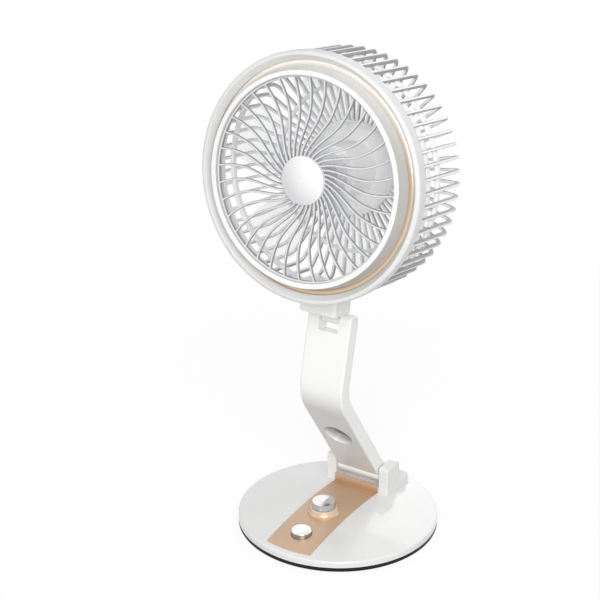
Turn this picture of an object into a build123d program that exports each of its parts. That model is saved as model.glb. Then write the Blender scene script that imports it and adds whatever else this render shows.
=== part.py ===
from build123d import *
import os
from math import cos, radians, sin, sqrt

os.makedirs("parts", exist_ok=True)

# Driving dimensions in millimetres and degrees.
# +X is to the right seen from the front, -Y is the way the fan blows, +Z is up.
# The origin is on the table under the middle of the base.

# Fits
seat_gap = 0.05          # around a piece that sits in a pocket of its own body
pin_fit = 0.02           # around a pin or screw that is held
pin_chamfer = 0.4
turn_fit = 0.06          # around a pin or shaft that turns
run_gap = 0.3            # between pieces that move past each other

# Base
base_r = 69.0            # outer radius
foot_stand = 0.8         # height of the rubber ring below the cover
cover_t = 2.0            # floor of the bottom cover
rim_h = 4.0              # top of the dark rim
cover_chamfer = 0.6
foot_inset = 9.0         # middle of the rubber ring in from the rim
foot_w = 5.6
foot_groove = 0.8        # depth of the groove that holds the rubber ring
shell_t = 2.2            # wall of the domed shell
edge_h = 8.4             # top of the side wall, where the dome starts
dome_rise = 7.6          # rise of the dome from its edge to its middle
edge_round = 1.4
screw_inset = 20.0       # base screws in from the rim
screw_r = 1.5
screw_head_r = 2.9
screw_head_h = 1.4
screw_len = 7.5
boss_r = 3.2

# Control panel and controls
panel_half_w = 17.3
panel_inset = 4.0        # the front end follows the rim this far in
panel_t = 1.2
panel_proud = 0.2
riser_gap = 0.65         # upturned rear end below the folded arm
knob_r = 7.8
knob_flare = 0.6         # the knob widens this much towards its foot
knob_dome = 1.2
knob_h = 5.2
collar_step = 1.0        # top of the collar outside the knob's foot
collar_flare = 1.6       # the collar widens this much towards the panel
collar_h = 4.2
collar_edge = 0.4
shaft_r = 3.0
shaft_floor = 2.0        # below the shaft in the speed control
knob_skin = 1.6          # top of the knob above the shaft
bushing_r = 4.4
control_r = 8.0
button_inset = 22.5      # middle of the button in from the rim
knob_step = 28.0         # middle of the knob behind the button
button_r = 7.0
button_proud = 3.3
button_round = 1.4
button_flange_w = 1.2    # flange that keeps the button under the shell
button_flange_h = 1.2
button_travel = 1.5
button_stem_r = 1.8
switch_w = 8.0
switch_gap = 0.4         # between the switch and the flange of the pressed button

# Inside the base
board_half_w = 13.0
board_ahead = 11.5       # front end of the board ahead of the button
board_behind = 12.5      # back end of the board behind the knob
board_t = 1.2
board_round = 2.0
post_h = 0.5             # the board stands this far above the cover
post_r = 2.0
cell_t = 4.2
cell_gap = 1.2           # between a cell and the bosses or the hinge bracket
cell_wall_gap = 4.0      # between a cell's corners and the wall
cell_round = 3.0
socket_w = 7.6
socket_h = 2.5
socket_len = 8.6
socket_wall = 0.4
socket_floor = 2.0       # back wall of the socket
socket_round = 0.6

# Base hinge
hinge_inset = 35.5       # hinge in from the rear of the rim
hinge_z = 26.5
hinge_pin_r = 2.5
ear_r = 8.2              # half of an ear's length from front to back
ear_top = 7.8            # top of the ears above the hinge
ear_round = 2.6
ear_w = 7.4
ear_skin = 1.6           # wall that hides the end of a hinge pin
plinth_len = 22.5        # plinth behind the hinge
plinth_gap = 1.5         # between the plinth and the arm's knuckle
bracket_wall = 2.4
plinth_round = 3.0
ear_edge_round = 0.6
bracket_screw_x = 14.0
washer_t = 0.6
washer_r = 6.0

# Arm
arm_half_w = 16.5
arm_t = 10.5
lower_lean = 34.6        # forward lean of the lower half
upper_lean = 13.0        # backward lean of the upper half
lower_len = 94.7         # base hinge to elbow
upper_len = 54.5         # elbow to head hinge
elbow_r = 27.0
knuckle_r = 7.0
arm_edge_round = 1.2
hollow_gap = 1.6         # around and above the knob when the arm lies on the base
hollow_slope = 1.2       # the hollow's wall widens this much towards the arm's face
hollow_round = 1.2
back_cover_t = 1.8
wire_space = 1.6
back_cover_half_w = 12.6
cover_low = 16.0         # clear length below the back cover
cover_high = 20.0        # clear length above it
arm_screw_r = 1.1
arm_screw_head_r = 2.2
arm_screw_head_h = 1.0
arm_screw_bite = 3.0     # length of a screw in the arm
arm_screw_edge = 3.4     # screws in from the sides of the back cover
arm_screw_end = 5.0      # screws in from its ends

# Neck
slot_half_w = 7.5
slot_depth = 8.6         # depth of the fork's slot below the head hinge
neck_pin_r = 2.0
tongue_r = 3.4
neck_washer_r = 3.2
neck_inset = 9.4         # head hinge ahead of the basket's back
neck_len = 21.8          # head hinge below the basket
collar_low = 7.0         # underside of the neck collar above the head hinge
collar_back = 1.8        # back of the collar ahead of the hinge
collar_ahead = 22.0
collar_half_w = 13.8
neck_round = 2.0
neck_edge_round = 1.2
neck_screw_r = 1.3
neck_screw_head_r = 2.6
neck_screw_head_h = 1.2
neck_screw_len = 8.0

# Head
head_tilt = 8.8
bezel_r = 80.0
bezel_depth = 7.2
bezel_wall = 2.4
bezel_rim_w = 6.0        # rolled rim from the outside to the dish
bezel_crown = 1.0        # top of the rolled rim ahead of the head's datum
bezel_round = 2.4        # outer rounding of the rim
bezel_lip_w = 3.0        # inner slope of the rim
bezel_lip_round = 0.8
dish_depth = 3.2
ring_t = 1.3             # champagne ring
ring_edge = 0.5          # height of its edges
ring_w = 3.7
ring_gap = 0.4           # between the champagne ring and the light ring
floor_t = 1.6            # annular floor behind the rings
shelf_wall = 0.95        # wall that raises the floor's inner edge to the grille
shelf_slope = 1.0        # that wall leans out this much towards the back
light_taper = 1.5        # the light ring narrows this much towards its front
light_w = 3.4            # front face of the light ring
light_front = 6.1        # front face of the light ring ahead of the datum
light_wall = 0.9
light_round = 0.6
led_t = 0.6
led_count = 24
led_size = 1.6
grille_ring_w = 1.2
grille_front = 3.8
grille_flange_w = 2.05
grille_flange_t = 1.6
rib_count = 36
rib_w = 1.4
rib_depth = 2.4
rib_turn = 24.0          # sweep of a front rib near the hub
rib_hook = 2.5           # return sweep at the rim
rib_hook_len = 18.65     # length of the return, in from the rim
hub_r = 15.6
cap_inset = 0.2
cap_rim = 1.4
cap_dome = 2.6
head_screw_count = 6
head_screw_r = 0.6
head_screw_head_r = 1.1
head_screw_head_h = 0.9
head_screw_bite = 1.2    # length of a screw in the grille
head_screw_edge = 0.25   # screw holes in from the shelf's edge

# Basket behind the bezel
cage_step = 1.0          # outside of the ribs in from the bezel
cage_depth = 58.0        # back of the ribs behind the datum
cage_rib_t = 2.8         # depth of a rib's section
cage_rib_w = 1.8
cage_rib_count = 58
cage_corner_r = 6.0
cage_ring_w = 2.6
cage_ring_d = 9.0
front_hoop_d = 17.0
mid_hoop_d = 30.0
hoop_w = 4.4
hoop_t = 2.2
back_hoop_step = 24.0    # hoop across the back ribs, outside the motor plate
back_hoop_w = 2.4
plate_r = 31.0
plate_t = 2.5
plate_rim_h = 6.0
plate_rim_w = 2.0
pad_margin = 2.0         # pad beyond the ends of the neck collar
pad_turn = 11.5          # half angle of the pad above the neck

# Motor and impeller
motor_r = 17.5
motor_wall = 1.4
bell_t = 3.0
bell_round = 1.0
bearing_r = 5.0
bearing_w = 3.0
rotor_r = 8.2
air_gap = 0.4
core_clear = 2.0         # windings clear of the bearings and the end bell
motor_shaft_r = 2.0
motor_screw_circle = 12.0
motor_screw_r = 1.2
motor_screw_head_r = 2.3
motor_screw_head_h = 1.2
impeller_d = 18.5        # middle of the impeller behind the datum
impeller_hub_r = 13.5
impeller_hub_len = 16.0
impeller_gap = 2.0       # between the hub and the motor
blade_count = 5
tip_clear = 8.95         # blade tips inside the basket's ring
blade_root_w = 9.0       # half width of a blade at its root
blade_spread = 18.0      # half angle of a blade at its tip
blade_root_r = 11.0
blade_t = 1.8
root_pitch, mid_pitch, tip_pitch = 44.0, 29.0, 17.0
root_camber, mid_camber, tip_camber = 1.5, 4.0, 4.5
blade_tip_round = 10.0
nut_r = 4.6
nut_t = 3.4

# Places worked out from the driving dimensions
floor_top = foot_stand + cover_t
wall_r = base_r - shell_t
foot_r = base_r - foot_inset
dome_apex = edge_h + dome_rise
dome_r = (base_r**2 + dome_rise**2) / (2 * dome_rise)
panel_end_r = base_r - panel_inset
button_y = button_inset - base_r
knob_y = button_y + knob_step
hinge_y = base_r - hinge_inset
plinth_back = hinge_y + plinth_len
plinth_h = hinge_z - knuckle_r - plinth_gap
riser_h = hinge_z - arm_t / 2 - riser_gap
board_front = button_y - board_ahead
board_back = knob_y + board_behind
bracket_front = hinge_y - ear_r
bracket_x = arm_half_w + run_gap + washer_t + ear_w
ear_inner = bracket_x - ear_w
riser_back = bracket_front - seat_gap
riser_front = riser_back - panel_t
board_z = floor_top + post_h
board_top = board_z + board_t


def dome_z(radius, drop=0.0):
    """Height of the dome, or of a surface that lies below it by drop, at a radius."""
    sphere = dome_r - drop
    return dome_apex - dome_r + sqrt(sphere**2 - radius**2)


def cap_points(radius, low, high):
    """Three points of a round cap's section, from its edge to its top on the axis."""
    sphere = (radius**2 + (high - low) ** 2) / (2 * (high - low))
    return (radius, low), (radius / 2, high - sphere + sqrt(sphere**2 - radius**2 / 4)), (0, high)


def strip_outline(grow):
    """Plan of the control panel: parallel sides and a front end that follows the rim."""
    with BuildSketch() as outline:
        with Locations((0, riser_back + grow)):
            Rectangle(2 * (panel_half_w + grow), 2 * base_r, align=(Align.CENTER, Align.MAX))
        Circle(panel_end_r + grow, mode=Mode.INTERSECT)
    return outline.sketch


def dome_slab(grow, proud):
    """Strip of the dome's skin: what the control panel fills, or its pocket when grown."""
    with BuildPart() as slab:
        extrude(strip_outline(grow), amount=2 * dome_apex)
        with Locations((0, 0, dome_apex - dome_r)):
            Sphere(dome_r + proud, mode=Mode.INTERSECT)
            Sphere(dome_r - panel_t - grow, mode=Mode.SUBTRACT)
    return slab.part


def screw(head_radius, head_height, radius, length):
    """Countersunk screw that points up from its head, with the head's face at the origin."""
    with BuildPart() as one:
        with BuildSketch(Plane.XZ):
            with BuildLine():
                Polyline((0, 0), (head_radius, 0), (radius, head_height), (radius, length),
                         (0, length), close=True)
            make_face()
        revolve(axis=Axis.Z)
    return one.part


# Bottom cover
screw_circle = base_r - screw_inset
front_boss = screw_circle * sin(radians(45))
back_boss_x = bracket_x + boss_r + cell_gap
back_boss_y = sqrt(screw_circle**2 - back_boss_x**2)
base_screw_spots = [(side * front_boss, -front_boss) for side in (-1, 1)]
base_screw_spots += [(side * back_boss_x, back_boss_y) for side in (-1, 1)]
bracket_screw_spots = [(side * bracket_screw_x, hinge_y + ear_r) for side in (-1, 1)]
post_x = board_half_w - 2 * post_r
post_spots = [(x, y) for x in (-post_x, post_x)
              for y in (board_front + 2 * post_r, board_back - 2 * post_r)]
socket_back = base_r - seat_gap
socket_front = socket_back - socket_len
socket_low = rim_h + seat_gap

with BuildPart() as bottom_cover:
    with BuildSketch(Plane.XZ):
        with BuildLine():
            Polyline((0, foot_stand), (base_r - cover_chamfer, foot_stand),
                     (base_r, foot_stand + cover_chamfer), (base_r, rim_h), (wall_r, rim_h),
                     (wall_r, floor_top), (0, floor_top), close=True)
        make_face()
    revolve(axis=Axis.Z)
    with BuildSketch(Plane.XY.offset(foot_stand)):
        Circle(foot_r + foot_w / 2 + seat_gap)
        Circle(foot_r - foot_w / 2 - seat_gap, mode=Mode.SUBTRACT)
    extrude(amount=foot_groove, mode=Mode.SUBTRACT)
    with BuildSketch(Plane.XY.offset(floor_top)):
        with Locations(*post_spots):
            Circle(post_r)
    extrude(amount=post_h)
    with BuildSketch(Plane.XY.offset(floor_top)):
        with Locations((0, socket_front)):
            Rectangle(socket_w, wall_r - socket_front - 2 * seat_gap, align=(Align.CENTER, Align.MIN))
    extrude(amount=socket_low - floor_top - seat_gap / 2)
    with Locations(*[Plane((x, y, foot_stand), z_dir=(0, 0, -1))
                     for x, y in base_screw_spots + bracket_screw_spots]):
        CounterSinkHole(screw_r + pin_fit, screw_head_r + seat_gap)
bottom_cover.part.label = "bottom_cover"
export_step(bottom_cover.part, "parts/bottom_cover.step")

# Rubber ring under the cover
with BuildPart() as foot_ring:
    with BuildSketch():
        Circle(foot_r + foot_w / 2)
        Circle(foot_r - foot_w / 2, mode=Mode.SUBTRACT)
    extrude(amount=foot_stand + foot_groove - seat_gap)
    chamfer(foot_ring.edges().group_by(Axis.Z)[0], foot_stand / 2)
foot_ring.part.label = "foot_ring"
export_step(foot_ring.part, "parts/foot_ring.step")

# Screws up through the bottom cover
base_screw = screw(screw_head_r, screw_head_h, screw_r, screw_len)
with BuildPart() as base_screws:
    with Locations((0, 0, foot_stand + seat_gap)):
        with Locations(*base_screw_spots):
            add(base_screw)
base_screws.part.label = "base_screws"
export_step(base_screws.part, "parts/base_screws.step")

with BuildPart() as bracket_screws:
    with Locations((0, 0, foot_stand + seat_gap)):
        with Locations(*bracket_screw_spots):
            add(base_screw)
bracket_screws.part.label = "bracket_screws"
export_step(bracket_screws.part, "parts/bracket_screws.step")

# Domed base shell
screw_tip = foot_stand + seat_gap + screw_len
with BuildPart() as base_shell:
    with BuildSketch(Plane.XZ):
        with BuildLine():
            Line((base_r, rim_h), (base_r, dome_z(base_r)))
            ThreePointArc((base_r, dome_z(base_r)), (base_r / 2, dome_z(base_r / 2)), (0, dome_apex))
            Line((0, dome_apex), (0, dome_apex - shell_t))
            ThreePointArc((0, dome_apex - shell_t), (wall_r / 2, dome_z(wall_r / 2, shell_t)),
                          (wall_r, dome_z(wall_r, shell_t)))
            Line((wall_r, dome_z(wall_r, shell_t)), (wall_r, rim_h))
            Line((wall_r, rim_h), (base_r, rim_h))
        make_face()
    revolve(axis=Axis.Z)
    rim_edges = base_shell.edges().filter_by(GeomType.CIRCLE)
    fillet(rim_edges.filter_by(lambda e: abs(e.radius - base_r) < 0.01).sort_by(Axis.Z)[-1], edge_round)
    with BuildSketch(Plane.XY.offset(floor_top)):
        with Locations(*base_screw_spots):
            Circle(boss_r)
    extrude(amount=dome_z(screw_circle + boss_r, shell_t / 2) - floor_top)
    with Locations(*[(x, y, floor_top) for x, y in base_screw_spots]):
        Cylinder(screw_r + pin_fit, screw_tip + run_gap - floor_top, mode=Mode.SUBTRACT,
                 align=(Align.CENTER, Align.CENTER, Align.MIN))
    add(dome_slab(seat_gap, 1.0), mode=Mode.SUBTRACT)
    with Locations((0, knob_y, dome_apex)):
        Cylinder(bushing_r + seat_gap, 4 * shell_t, mode=Mode.SUBTRACT)
    with Locations((0, button_y, dome_apex)):
        Cylinder(button_r + run_gap, 8 * shell_t, mode=Mode.SUBTRACT)
    with Locations((0, bracket_front - seat_gap / 2, rim_h)):
        Box(2 * (bracket_x + seat_gap), plinth_back - bracket_front + 1.5 * seat_gap, 2 * dome_apex,
            mode=Mode.SUBTRACT, align=(Align.CENTER, Align.MIN, Align.MIN))
    with Locations((0, wall_r - shell_t, rim_h)):
        Box(socket_w + 2 * seat_gap, 3 * shell_t, socket_h + 2 * seat_gap, mode=Mode.SUBTRACT,
            align=(Align.CENTER, Align.MIN, Align.MIN))
base_shell.part.label = "base_shell"
export_step(base_shell.part, "parts/base_shell.step")

# Champagne control panel with its upturned rear end
panel_knob_z = dome_z(abs(knob_y)) + panel_proud
panel_button_z = dome_z(abs(button_y)) + panel_proud
with BuildPart() as control_panel:
    add(dome_slab(0, panel_proud))
    with BuildSketch(Plane.XZ.offset(-riser_front)):
        with Locations((0, dome_z(riser_back))):
            Rectangle(2 * panel_half_w, riser_h - dome_z(riser_back), align=(Align.CENTER, Align.MIN))
    extrude(amount=-panel_t)
    with Locations((0, knob_y, dome_apex)):
        Cylinder(bushing_r + seat_gap, 4 * shell_t, mode=Mode.SUBTRACT)
    with Locations((0, button_y, dome_apex)):
        Cylinder(button_r + run_gap, 8 * shell_t, mode=Mode.SUBTRACT)
control_panel.part.label = "control_panel"
export_step(control_panel.part, "parts/control_panel.step")

# Flared collar under the knob
collar_top_r = knob_r + knob_flare + collar_step
collar_foot_r = collar_top_r + collar_flare
collar_top = panel_knob_z + collar_h
bushing_top = panel_knob_z + collar_h / 2 - run_gap
with BuildPart() as knob_collar:
    with BuildSketch(Plane.XZ.offset(-knob_y)):
        with BuildLine():
            Polyline((shaft_r + run_gap, collar_top), (collar_top_r - collar_edge, collar_top),
                     (collar_top_r, collar_top - collar_edge))
            ThreePointArc((collar_top_r, collar_top - collar_edge),
                          (collar_top_r + 0.3 * collar_flare, collar_top - 0.65 * collar_h),
                          (collar_foot_r, panel_knob_z + collar_edge))
            Polyline((collar_foot_r, panel_knob_z + collar_edge),
                     (collar_foot_r, panel_knob_z - collar_h / 2),
                     (bushing_r + seat_gap, panel_knob_z - collar_h / 2),
                     (bushing_r + seat_gap, bushing_top + run_gap),
                     (shaft_r + run_gap, bushing_top + run_gap), (shaft_r + run_gap, collar_top))
        make_face()
    revolve(axis=Axis((0, knob_y, 0), (0, 0, 1)))
    with Locations((0, 0, dome_apex - dome_r)):
        Sphere(dome_r + panel_proud + seat_gap / 2, mode=Mode.SUBTRACT)
knob_collar.part.label = "knob_collar"
export_step(knob_collar.part, "parts/knob_collar.step")

# Chrome knob and its shaft
knob_low = collar_top + run_gap
knob_top = knob_low + knob_h
shaft_low = board_top + shaft_floor
shaft_top = knob_top - knob_skin
with BuildPart() as speed_knob:
    with BuildSketch(Plane.XZ.offset(-knob_y)):
        with BuildLine():
            Polyline((shaft_r + pin_fit, knob_low), (knob_r + knob_flare, knob_low),
                     (knob_r, knob_top - knob_dome))
            ThreePointArc(*cap_points(knob_r, knob_top - knob_dome, knob_top))
            Polyline((0, knob_top), (0, shaft_top + pin_fit), (shaft_r + pin_fit, shaft_top + pin_fit),
                     (shaft_r + pin_fit, knob_low))
        make_face()
    revolve(axis=Axis((0, knob_y, 0), (0, 0, 1)))
speed_knob.part.label = "speed_knob"
export_step(speed_knob.part, "parts/speed_knob.step")

with BuildPart() as knob_shaft:
    with BuildSketch(Plane.XY.offset(shaft_low)):
        with Locations((0, knob_y)):
            Circle(shaft_r)
    extrude(amount=shaft_top - shaft_low)
    chamfer(knob_shaft.edges().group_by(Axis.Z)[-1], pin_chamfer)
knob_shaft.part.label = "knob_shaft"
export_step(knob_shaft.part, "parts/knob_shaft.step")

# Speed control on the board, with the bushing that the shaft turns in
with BuildPart() as speed_control:
    with BuildSketch(Plane.XY.offset(board_top)):
        with Locations((0, knob_y)):
            Circle(control_r)
    extrude(amount=dome_z(abs(knob_y) + control_r, shell_t) - board_top - 2 * run_gap)
    with BuildSketch(Plane.XY.offset(board_top)):
        with Locations((0, knob_y)):
            Circle(bushing_r)
    extrude(amount=bushing_top - board_top)
    with BuildSketch(Plane.XY.offset(shaft_low - turn_fit)):
        with Locations((0, knob_y)):
            Circle(shaft_r + turn_fit)
    extrude(amount=bushing_top - shaft_low + 1, mode=Mode.SUBTRACT)
speed_control.part.label = "speed_control"
export_step(speed_control.part, "parts/speed_control.step")

# Chrome push button: cap, retaining flange and stem
button_flange_r = button_r + button_flange_w
flange_top = dome_z(abs(button_y) + button_flange_r, shell_t) - 2 * run_gap
flange_low = flange_top - button_flange_h
button_top = panel_button_z + button_proud
switch_h = flange_low - button_travel - switch_gap - board_top
stem_low = board_top + switch_h + 2 * run_gap
with BuildPart() as light_button:
    with BuildSketch(Plane.XY.offset(flange_low)):
        with Locations((0, button_y)):
            Circle(button_r)
    extrude(amount=button_top - flange_low)
    fillet(light_button.edges().group_by(Axis.Z)[-1], button_round)
    with BuildSketch(Plane.XY.offset(flange_low)):
        with Locations((0, button_y)):
            Circle(button_flange_r)
    extrude(amount=button_flange_h)
    with BuildSketch(Plane.XY.offset(stem_low)):
        with Locations((0, button_y)):
            Circle(button_stem_r)
    extrude(amount=flange_low - stem_low)
light_button.part.label = "light_button"
export_step(light_button.part, "parts/light_button.step")

# Switch under the button, with the well that its stem goes into
with BuildPart() as button_switch:
    with BuildSketch(Plane.XY.offset(board_top)):
        with Locations((0, button_y)):
            Rectangle(switch_w, switch_w)
            Circle(button_stem_r + run_gap, mode=Mode.SUBTRACT)
    extrude(amount=switch_h)
button_switch.part.label = "button_switch"
export_step(button_switch.part, "parts/button_switch.step")

# Circuit board, cells and charging socket
with BuildPart() as main_board:
    with BuildSketch(Plane.XY.offset(board_z)):
        with Locations((0, (board_front + board_back) / 2)):
            RectangleRounded(2 * board_half_w, board_back - board_front, board_round)
        with Locations((0, button_y)):
            Circle(button_stem_r + run_gap, mode=Mode.SUBTRACT)
    extrude(amount=board_t)
main_board.part.label = "main_board"
export_step(main_board.part, "parts/main_board.step")

cell_front = boss_r + cell_gap - front_boss
cell_back = back_boss_y - boss_r - cell_gap
cell_in = bracket_x + cell_gap
cell_out = sqrt((wall_r - cell_wall_gap) ** 2 - max(-cell_front, cell_back) ** 2)
cell_x = (cell_in + cell_out) / 2
cell_y = (cell_front + cell_back) / 2
with BuildPart() as battery_cells:
    with BuildSketch(Plane.XY.offset(floor_top)):
        with Locations((-cell_x, cell_y), (cell_x, cell_y)):
            RectangleRounded(cell_out - cell_in, cell_back - cell_front, cell_round)
    extrude(amount=cell_t)
battery_cells.part.label = "battery_cells"
export_step(battery_cells.part, "parts/battery_cells.step")

with BuildPart() as charging_socket:
    with BuildSketch(Plane.XZ.offset(-socket_back)):
        with Locations((0, socket_low + socket_h / 2)):
            RectangleRounded(socket_w, socket_h, socket_round)
    extrude(amount=socket_len)
    with BuildSketch(Plane.XZ.offset(-socket_back)):
        with Locations((0, socket_low + socket_h / 2)):
            RectangleRounded(socket_w - 2 * socket_wall, socket_h - 2 * socket_wall,
                             socket_round - socket_wall / 2)
            Rectangle(0.6 * socket_w, 0.3 * socket_h, mode=Mode.SUBTRACT)
    extrude(amount=socket_len - socket_floor, mode=Mode.SUBTRACT)
charging_socket.part.label = "charging_socket"
export_step(charging_socket.part, "parts/charging_socket.step")

# Hinge bracket: hollow plinth with two ears
with BuildPart() as hinge_bracket:
    with BuildSketch(Plane.XY.offset(floor_top)):
        with Locations((0, bracket_front)):
            Rectangle(2 * bracket_x, plinth_back - bracket_front, align=(Align.CENTER, Align.MIN))
    extrude(amount=plinth_h - floor_top)
    fillet(hinge_bracket.edges().filter_by(Axis.Z).group_by(Axis.Y)[-1], plinth_round)
    with BuildSketch(Plane.XY.offset(floor_top)):
        with Locations((0, bracket_front + bracket_wall)):
            Rectangle(2 * (bracket_x - bracket_wall), plinth_back - bracket_front - 2 * bracket_wall,
                      align=(Align.CENTER, Align.MIN))
    extrude(amount=plinth_h - floor_top - bracket_wall, mode=Mode.SUBTRACT)
    for side in (-1, 1):
        with BuildSketch(Plane.YZ.offset(side * ear_inner)):
            with Locations((hinge_y, hinge_z + ear_top)):
                Rectangle(2 * ear_r, ear_top + hinge_z - plinth_h + bracket_wall / 2,
                          align=(Align.CENTER, Align.MAX))
        extrude(amount=side * ear_w)
    ear_corners = hinge_bracket.edges().filter_by(Axis.X).group_by(Axis.Z)[-1]
    fillet(ear_corners, ear_round)
    fillet(hinge_bracket.edges().group_by(Axis.Z)[-1], ear_edge_round)
    with BuildSketch(Plane.XY.offset(floor_top)):
        with Locations(*bracket_screw_spots):
            Circle(boss_r)
    extrude(amount=plinth_h - floor_top - bracket_wall / 2)
    with Locations(*[(x, y, floor_top) for x, y in bracket_screw_spots]):
        Cylinder(screw_r + pin_fit, screw_tip + run_gap - floor_top, mode=Mode.SUBTRACT,
                 align=(Align.CENTER, Align.CENTER, Align.MIN))
    with BuildSketch(Plane.YZ):
        with Locations((hinge_y, hinge_z)):
            Circle(hinge_pin_r + pin_fit)
    extrude(amount=bracket_x - ear_skin, both=True, mode=Mode.SUBTRACT)
hinge_bracket.part.label = "hinge_bracket"
export_step(hinge_bracket.part, "parts/hinge_bracket.step")

# Base hinge pin and friction washers
with BuildPart() as base_hinge_pin:
    with BuildSketch(Plane.YZ):
        with Locations((hinge_y, hinge_z)):
            Circle(hinge_pin_r)
    extrude(amount=bracket_x - ear_skin - seat_gap, both=True)
    chamfer(base_hinge_pin.edges().filter_by(GeomType.CIRCLE), pin_chamfer)
base_hinge_pin.part.label = "base_hinge_pin"
export_step(base_hinge_pin.part, "parts/base_hinge_pin.step")

with BuildPart() as base_hinge_washers:
    for side in (-1, 1):
        with BuildSketch(Plane.YZ.offset(side * ear_inner)):
            with Locations((hinge_y, hinge_z)):
                Circle(washer_r)
                Circle(hinge_pin_r + pin_fit, mode=Mode.SUBTRACT)
        extrude(amount=-side * washer_t)
base_hinge_washers.part.label = "base_hinge_washers"
export_step(base_hinge_washers.part, "parts/base_hinge_washers.step")

# Arm: two straight lengths and a round elbow, drawn from the side.
# Offsets across the arm are positive towards its back, which is the inside of the bend.
low_dir = Vector(-sin(radians(lower_lean)), cos(radians(lower_lean)))
low_back = Vector(cos(radians(lower_lean)), sin(radians(lower_lean)))
up_dir = Vector(sin(radians(upper_lean)), cos(radians(upper_lean)))
up_back = Vector(cos(radians(upper_lean)), -sin(radians(upper_lean)))
low_end = Vector(hinge_y, hinge_z)
elbow = low_end + low_dir * lower_len
high_end = elbow + up_dir * upper_len
corner_way = (low_back + up_back) * (1 / (1 + low_back.dot(up_back)))
neck_y = high_end.X
neck_z = high_end.Y


def arm_band(front, back, low_trim, high_trim):
    """Side view of a layer of the arm between two offsets, short of the hinges by the trims."""
    start = low_end + low_dir * low_trim
    end = high_end - up_dir * high_trim
    with BuildSketch(Plane.YZ) as band:
        with BuildLine():
            fore = FilletPolyline(start + low_back * front, elbow + corner_way * front,
                                  end + up_back * front, radius=elbow_r - front)
            rear = FilletPolyline(start + low_back * back, elbow + corner_way * back,
                                  end + up_back * back, radius=elbow_r - back)
            Line(fore @ 1, rear @ 1)
            Line(rear @ 0, fore @ 0)
        make_face()
    return band.sketch


def on_arm(along, offset):
    """Point beside the lower length at a distance from the base hinge."""
    spot = low_end + low_dir * along + low_back * offset
    return Vector(0, spot.X, spot.Y)


def on_upper(down, offset):
    """Point beside the upper length at a distance below the head hinge."""
    spot = high_end - up_dir * down + up_back * offset
    return Vector(0, spot.X, spot.Y)


half_t = arm_t / 2
knob_along = hinge_y - knob_y
cavity_floor = half_t - back_cover_t - wire_space
low_out = Vector(0, low_back.X, low_back.Y)
up_out = Vector(0, up_back.X, up_back.Y)
arm_screw_x = back_cover_half_w - arm_screw_edge
arm_screw_spots = ([Plane(on_arm(cover_low + arm_screw_end, half_t) + Vector(x, 0, 0), z_dir=low_out)
                    for x in (-arm_screw_x, arm_screw_x)]
                   + [Plane(on_upper(cover_high + arm_screw_end, half_t) + Vector(x, 0, 0), z_dir=up_out)
                      for x in (-arm_screw_x, arm_screw_x)])
arm_screw_len = back_cover_t + wire_space + arm_screw_bite

# Round hollow in the arm's face that takes the knob when the arm lies flat on the base
hollow_depth = knob_top - hinge_z + half_t + hollow_gap
hollow_floor_r = knob_r + hollow_gap
hollow_r = hollow_floor_r + hollow_slope
with BuildPart() as knob_hollow:
    with BuildSketch(Plane(on_arm(knob_along, -half_t), z_dir=low_out)):
        Circle(hollow_r)
    with BuildSketch(Plane(on_arm(knob_along, hollow_depth - half_t), z_dir=low_out)):
        Circle(hollow_floor_r)
    loft()
    fillet(knob_hollow.edges().filter_by(GeomType.CIRCLE).sort_by(SortBy.RADIUS)[0], hollow_round)

with BuildPart() as arm_shell:
    extrude(arm_band(-half_t, half_t, 0, 0), amount=arm_half_w, both=True)
    with BuildSketch(Plane.YZ):
        with Locations(high_end):
            Circle(half_t)
    extrude(amount=arm_half_w, both=True)
    side_edges = arm_shell.faces().filter_by(Plane.YZ).edges()
    fillet(side_edges, arm_edge_round)
    with BuildSketch(Plane.YZ):
        with Locations(low_end):
            Circle(knuckle_r)
    extrude(amount=arm_half_w, both=True)
    add(knob_hollow.part, mode=Mode.SUBTRACT)
    extrude(arm_band(cavity_floor, arm_t, cover_low, cover_high), amount=back_cover_half_w, both=True,
            mode=Mode.SUBTRACT)
    for spot in arm_screw_spots:
        with BuildSketch(spot.offset(-back_cover_t - seat_gap)):
            Circle(2 * arm_screw_r)
        extrude(amount=-wire_space - 0.5)
        with BuildSketch(spot):
            Circle(arm_screw_r + pin_fit)
        extrude(amount=-arm_screw_len - run_gap, mode=Mode.SUBTRACT)
    with BuildSketch(Plane.YZ):
        with BuildLine():
            Polyline(high_end - up_dir * slot_depth - up_back * arm_t,
                     high_end - up_dir * slot_depth + up_back * arm_t,
                     high_end + up_dir * arm_t + up_back * arm_t,
                     high_end + up_dir * arm_t - up_back * arm_t, close=True)
        make_face()
    extrude(amount=slot_half_w, both=True, mode=Mode.SUBTRACT)
    with BuildSketch(Plane.YZ):
        with Locations(low_end):
            Circle(hinge_pin_r + turn_fit)
    extrude(amount=2 * arm_half_w, both=True, mode=Mode.SUBTRACT)
    with BuildSketch(Plane.YZ):
        with Locations(high_end):
            Circle(neck_pin_r + pin_fit)
    extrude(amount=arm_half_w - ear_skin, both=True, mode=Mode.SUBTRACT)
arm_shell.part.label = "arm_shell"
export_step(arm_shell.part, "parts/arm_shell.step")

with BuildPart() as arm_rear_cover:
    extrude(arm_band(half_t - back_cover_t, half_t, cover_low + seat_gap, cover_high + seat_gap),
            amount=back_cover_half_w - seat_gap, both=True)
    with Locations(*arm_screw_spots):
        CounterSinkHole(arm_screw_r + pin_fit, arm_screw_head_r + seat_gap, depth=2 * back_cover_t)
arm_rear_cover.part.label = "arm_rear_cover"
export_step(arm_rear_cover.part, "parts/arm_rear_cover.step")

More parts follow.
